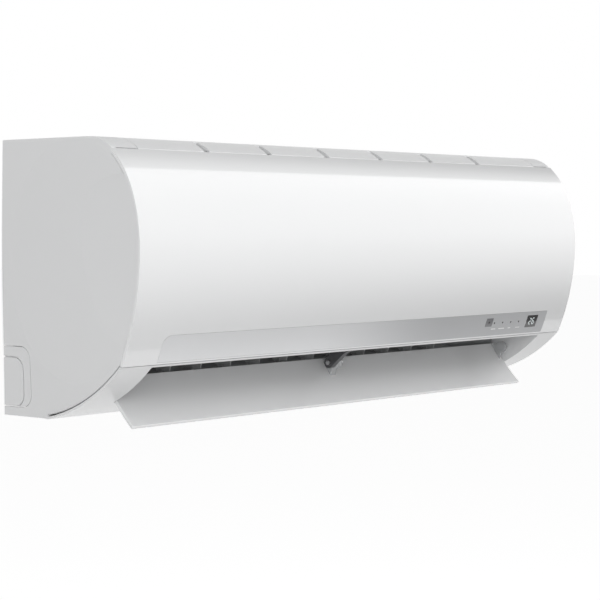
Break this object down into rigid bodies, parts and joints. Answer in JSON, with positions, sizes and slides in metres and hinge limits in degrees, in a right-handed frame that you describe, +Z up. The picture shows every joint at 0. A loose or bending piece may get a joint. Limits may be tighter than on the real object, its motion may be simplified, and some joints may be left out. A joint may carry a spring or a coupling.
{
  "type": "mini split indoor unit",
  "caption": "Wall-hung indoor air-conditioner unit with a hinged front panel, a swinging air flap, linked vertical vanes, a cross-flow fan and a heat exchanger.",
  "frame": {"origin": "centre of the four wall-screw holes, on the wall's plane at the back of the mounting plate", "axes": "+X along the unit, to the right seen from the room; +Y into the wall, so the front faces -Y; +Z up"},
  "size_m": [0.85, 0.212, 0.3105],
  "materials": {
    "white_shell": "smooth white, semi-gloss",
    "panel_white": "high gloss white",
    "cover_white": "fine matt white",
    "silver_trim": "satin silver film",
    "black_window": "smoked gloss",
    "grey_window": "smoked gloss",
    "lens_dark": "smoked gloss",
    "board_green": "printed board",
    "flap_white": "semi-gloss white",
    "dark_plastic": "moulded dark grey",
    "inner_grey": "moulded grey",
    "fan_black": "moulded black",
    "pan_foam": "moulded white",
    "steel_sheet": "galvanised sheet",
    "steel_pin": "bright drawn steel",
    "rubber_black": "soft rubber",
    "fin_aluminium": "coated aluminium fins",
    "copper_tube": "drawn copper",
    "brass_union": "machined brass",
    "screw_steel": "zinc plated",
    "filter_frame": "moulded pale frame with fine net"
  },
  "bodies": {
    "root": {"casing": "white_shell", "casing_screws": "screw_steel", "chassis": "inner_grey", "control_box": "inner_grey", "control_box_cover": "inner_grey", "drain_pan": "pan_foam", "drain_plug": "rubber_black", "end_cover_left": "cover_white", "end_cover_right": "cover_white", "end_plate_left": "steel_sheet", "end_plate_right": "steel_sheet", "fan_bearing": "rubber_black", "fan_motor": "dark_plastic", "fins_front_lower": "fin_aluminium", "fins_front_upper": "fin_aluminium", "fins_rear": "fin_aluminium", "flap_bracket": "dark_plastic", "flap_bush": "inner_grey", "flap_motor": "dark_plastic", "flap_pin": "steel_pin", "gas_pipe": "copper_tube", "gas_union": "brass_union", "liquid_pipe": "copper_tube", "liquid_union": "brass_union", "main_board": "board_green", "motor_clamp": "inner_grey", "mounting_plate": "steel_sheet", "pipe_clamp": "dark_plastic", "pipe_cover_left": "cover_white", "pipe_cover_right": "cover_white", "return_bends_left": "copper_tube", "return_bends_right": "copper_tube", "terminal_block": "dark_plastic"},
    "front_panel": {"front_panel": "panel_white", "trim_strip": "silver_trim", "display_window": "black_window", "receiver_window": "grey_window", "indicator_lenses": "lens_dark", "display_board": "board_green"},
    "flap": {"flap": "flap_white"},
    "fan": {"crossflow_fan": "fan_black", "bearing_stub": "steel_pin", "motor_shaft": "steel_pin"},
    "vane_link_left": {"vane_link_left": "inner_grey"},
    "vane_link_right": {"vane_link_right": "inner_grey"},
    "filter_left": {"filter_left": "filter_frame"},
    "filter_right": {"filter_right": "filter_frame"},
    "manual_button": {"manual_button": "cover_white"},
    "vane_01": {"vane_01": "inner_grey"},
    "vane_02": {"vane_02": "inner_grey"},
    "vane_03": {"vane_03": "inner_grey"},
    "vane_04": {"vane_04": "inner_grey"},
    "vane_05": {"vane_05": "inner_grey"},
    "vane_06": {"vane_06": "inner_grey"},
    "vane_07": {"vane_07": "inner_grey"},
    "vane_08": {"vane_08": "inner_grey"},
    "vane_09": {"vane_09": "inner_grey"},
    "vane_10": {"vane_10": "inner_grey"},
    "vane_11": {"vane_11": "inner_grey"},
    "vane_12": {"vane_12": "inner_grey"}
  },
  "joints": [
    {"name": "panel_hinge", "type": "hinge", "parent": "root", "child": "front_panel", "pos_m": [0, -0.157, 0.107], "axis": [-1, 0, 0], "range_deg": [0, 60]},
    {"name": "flap_swing", "type": "hinge", "parent": "root", "child": "flap", "pos_m": [0, -0.131, -0.138], "axis": [1, 0, 0], "range_deg": [-86.7, 0]},
    {"name": "fan_spin", "type": "hinge", "parent": "root", "child": "fan", "pos_m": [0, -0.091, -0.05], "axis": [1, 0, 0], "continuous": true},
    {"name": "vane_01_swing", "type": "hinge", "parent": "root", "child": "vane_01", "pos_m": [-0.321, -0.09062, -0.14027], "axis": [0, -0.5508, 0.8346], "range_deg": [-30.1, 30.1]},
    {"name": "vane_02_swing", "type": "hinge", "parent": "root", "child": "vane_02", "pos_m": [-0.27, -0.09062, -0.14027], "axis": [0, -0.5508, 0.8346], "range_deg": [-30.1, 30.1]},
    {"name": "vane_03_swing", "type": "hinge", "parent": "root", "child": "vane_03", "pos_m": [-0.219, -0.09062, -0.14027], "axis": [0, -0.5508, 0.8346], "range_deg": [-30.1, 30.1]},
    {"name": "vane_04_swing", "type": "hinge", "parent": "root", "child": "vane_04", "pos_m": [-0.168, -0.09062, -0.14027], "axis": [0, -0.5508, 0.8346], "range_deg": [-30.1, 30.1]},
    {"name": "vane_05_swing", "type": "hinge", "parent": "root", "child": "vane_05", "pos_m": [-0.117, -0.09062, -0.14027], "axis": [0, -0.5508, 0.8346], "range_deg": [-30.1, 30.1]},
    {"name": "vane_06_swing", "type": "hinge", "parent": "root", "child": "vane_06", "pos_m": [-0.066, -0.09062, -0.14027], "axis": [0, -0.5508, 0.8346], "range_deg": [-30.1, 30.1]},
    {"name": "vane_link_left_slide", "type": "slide", "parent": "root", "child": "vane_link_left", "axis": [1, 0, 0], "range_m": [-0.007, 0.007]},
    {"name": "vane_07_swing", "type": "hinge", "parent": "root", "child": "vane_07", "pos_m": [-0.015, -0.09062, -0.14027], "axis": [0, -0.5508, 0.8346], "range_deg": [-30.1, 30.1]},
    {"name": "vane_08_swing", "type": "hinge", "parent": "root", "child": "vane_08", "pos_m": [0.036, -0.09062, -0.14027], "axis": [0, -0.5508, 0.8346], "range_deg": [-30.1, 30.1]},
    {"name": "vane_09_swing", "type": "hinge", "parent": "root", "child": "vane_09", "pos_m": [0.087, -0.09062, -0.14027], "axis": [0, -0.5508, 0.8346], "range_deg": [-30.1, 30.1]},
    {"name": "vane_10_swing", "type": "hinge", "parent": "root", "child": "vane_10", "pos_m": [0.138, -0.09062, -0.14027], "axis": [0, -0.5508, 0.8346], "range_deg": [-30.1, 30.1]},
    {"name": "vane_11_swing", "type": "hinge", "parent": "root", "child": "vane_11", "pos_m": [0.189, -0.09062, -0.14027], "axis": [0, -0.5508, 0.8346], "range_deg": [-30.1, 30.1]},
    {"name": "vane_12_swing", "type": "hinge", "parent": "root", "child": "vane_12", "pos_m": [0.24, -0.09062, -0.14027], "axis": [0, -0.5508, 0.8346], "range_deg": [-30.1, 30.1]},
    {"name": "vane_link_right_slide", "type": "slide", "parent": "root", "child": "vane_link_right", "axis": [1, 0, 0], "range_m": [-0.007, 0.007]},
    {"name": "filter_left_lift", "type": "slide", "parent": "root", "child": "filter_left", "axis": [0, 0, 1], "range_m": [0, 0.06]},
    {"name": "filter_right_lift", "type": "slide", "parent": "root", "child": "filter_right", "axis": [0, 0, 1], "range_m": [0, 0.06]},
    {"name": "button_press", "type": "slide", "parent": "root", "child": "manual_button", "axis": [0, 0.9424, 0.3344], "range_m": [0, 0.0012], "stiffness_N_per_m": 400, "springref_m": -0.0002}
  ],
  "couplings": [
    {"joint": "vane_01_swing", "follows": "vane_link_left_slide", "rad_per_m": 74.8},
    {"joint": "vane_02_swing", "follows": "vane_link_left_slide", "rad_per_m": 74.8},
    {"joint": "vane_03_swing", "follows": "vane_link_left_slide", "rad_per_m": 74.8},
    {"joint": "vane_04_swing", "follows": "vane_link_left_slide", "rad_per_m": 74.8},
    {"joint": "vane_05_swing", "follows": "vane_link_left_slide", "rad_per_m": 74.8},
    {"joint": "vane_06_swing", "follows": "vane_link_left_slide", "rad_per_m": 74.8},
    {"joint": "vane_07_swing", "follows": "vane_link_right_slide", "rad_per_m": 74.8},
    {"joint": "vane_08_swing", "follows": "vane_link_right_slide", "rad_per_m": 74.8},
    {"joint": "vane_09_swing", "follows": "vane_link_right_slide", "rad_per_m": 74.8},
    {"joint": "vane_10_swing", "follows": "vane_link_right_slide", "rad_per_m": 74.8},
    {"joint": "vane_11_swing", "follows": "vane_link_right_slide", "rad_per_m": 74.8},
    {"joint": "vane_12_swing", "follows": "vane_link_right_slide", "rad_per_m": 74.8}
  ]
}
